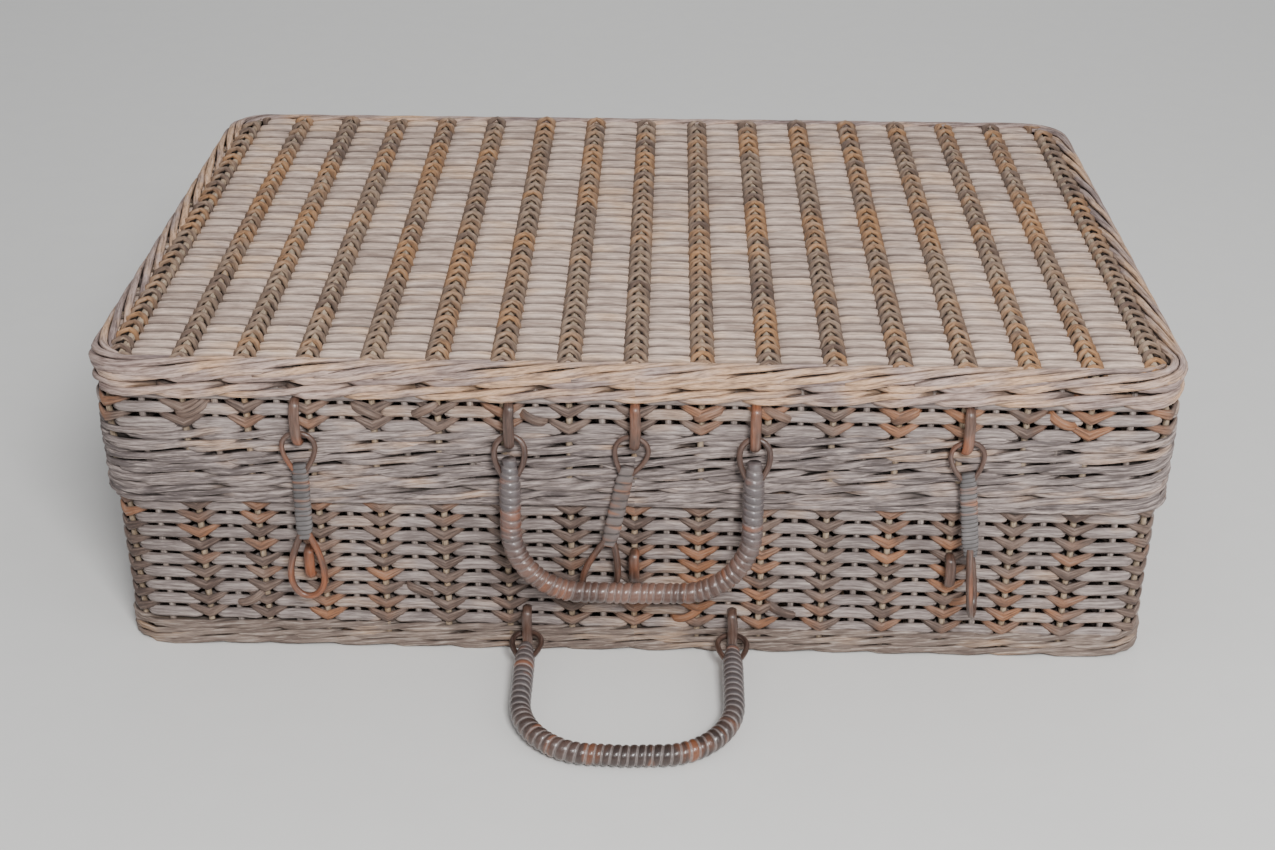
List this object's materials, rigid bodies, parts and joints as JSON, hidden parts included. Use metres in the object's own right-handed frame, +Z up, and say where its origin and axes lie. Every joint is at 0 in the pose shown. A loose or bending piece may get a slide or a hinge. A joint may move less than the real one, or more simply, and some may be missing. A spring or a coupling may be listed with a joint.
{
  "type": "wicker suitcase basket",
  "caption": "Woven cane suitcase basket: a tray with a hinged deep lid, hasps with catches, and bound swinging handles on the lid and at the foot of the tray.",
  "frame": {"origin": "middle of the underside of the base, on the surface that it stands on", "axes": "+X along the length to the right, -Y towards the front with the hasps and handles, +Z up"},
  "size_m": [0.611, 0.5343, 0.194],
  "materials": {
    "panel_weave": "matt weathered split cane",
    "wall_weave": "matt weathered cane",
    "border_cane": "matt cane, lightly worn",
    "stakes": "matt round cane",
    "fitting_cane": "dark cane with a low sheen",
    "handle_core": "matt round cane",
    "binding_cane": "split cane with its glossy skin outwards"
  },
  "bodies": {
    "base": {"base_bottom_weave": "panel_weave", "base_bottom_sticks": "stakes", "base_foot_border": "border_cane", "base_wall_weave": "wall_weave", "base_rim_border": "border_cane", "base_front_stakes": "stakes", "base_back_stakes": "stakes", "base_left_stakes": "stakes", "base_right_stakes": "stakes", "base_bystakes": "stakes", "hinge_ring_left": "fitting_cane", "hinge_ring_middle": "fitting_cane", "hinge_ring_right": "fitting_cane", "base_handle_staple_left": "fitting_cane", "base_handle_staple_right": "fitting_cane", "hasp_catch_left": "fitting_cane", "hasp_catch_middle": "fitting_cane", "hasp_catch_right": "fitting_cane"},
    "lid": {"lid_top_weave": "panel_weave", "lid_top_stakes": "stakes", "lid_top_bystakes": "stakes", "lid_edge_border": "border_cane", "lid_rim_band": "border_cane", "lid_open_band": "wall_weave", "lid_wale_band": "wall_weave", "lid_bottom_border": "border_cane", "lid_front_stakes": "stakes", "lid_back_stakes": "stakes", "lid_left_stakes": "stakes", "lid_right_stakes": "stakes", "lid_bystakes": "stakes", "lid_handle_staple_left": "fitting_cane", "lid_handle_staple_right": "fitting_cane", "hasp_hanger_left": "fitting_cane", "hasp_hanger_middle": "fitting_cane", "hasp_hanger_right": "fitting_cane"},
    "lid_handle": {"lid_handle_core": "handle_core", "lid_handle_binding": "binding_cane"},
    "base_handle": {"base_handle_core": "handle_core", "base_handle_binding": "binding_cane"},
    "hasp_left": {"hasp_left_cane": "fitting_cane", "hasp_left_binding": "binding_cane"},
    "hasp_middle": {"hasp_middle_cane": "fitting_cane", "hasp_middle_binding": "binding_cane"},
    "hasp_right": {"hasp_right_cane": "fitting_cane", "hasp_right_binding": "binding_cane"}
  },
  "joints": [
    {"name": "lid_hinge", "type": "hinge", "parent": "base", "child": "lid", "pos_m": [0, 0.206, 0.103], "axis": [-1, 0, 0], "range_deg": [0, 180]},
    {"name": "lid_handle_swing", "type": "hinge", "parent": "lid", "child": "lid_handle", "pos_m": [-0.0015, -0.2066, 0.15], "axis": [-1, 0, 0], "range_deg": [0, 110]},
    {"name": "base_handle_swing", "type": "hinge", "parent": "base", "child": "base_handle", "pos_m": [-0.0025, -0.2034, 0.014], "axis": [-1, 0, 0], "range_deg": [0, 50]},
    {"name": "hasp_left_swing", "type": "hinge", "parent": "lid", "child": "hasp_left", "pos_m": [-0.19, -0.2066, 0.15], "axis": [-1, 0, 0], "range_deg": [-3, 110]},
    {"name": "hasp_middle_sway", "type": "hinge", "parent": "lid", "child": "hasp_middle", "pos_m": [0, -0.2066, 0.15], "axis": [0, 1, 0], "range_deg": [0, 14]},
    {"name": "hasp_right_swing", "type": "hinge", "parent": "lid", "child": "hasp_right", "pos_m": [0.186, -0.2066, 0.15], "axis": [-1, 0, 0], "range_deg": [0, 110]}
  ]
}
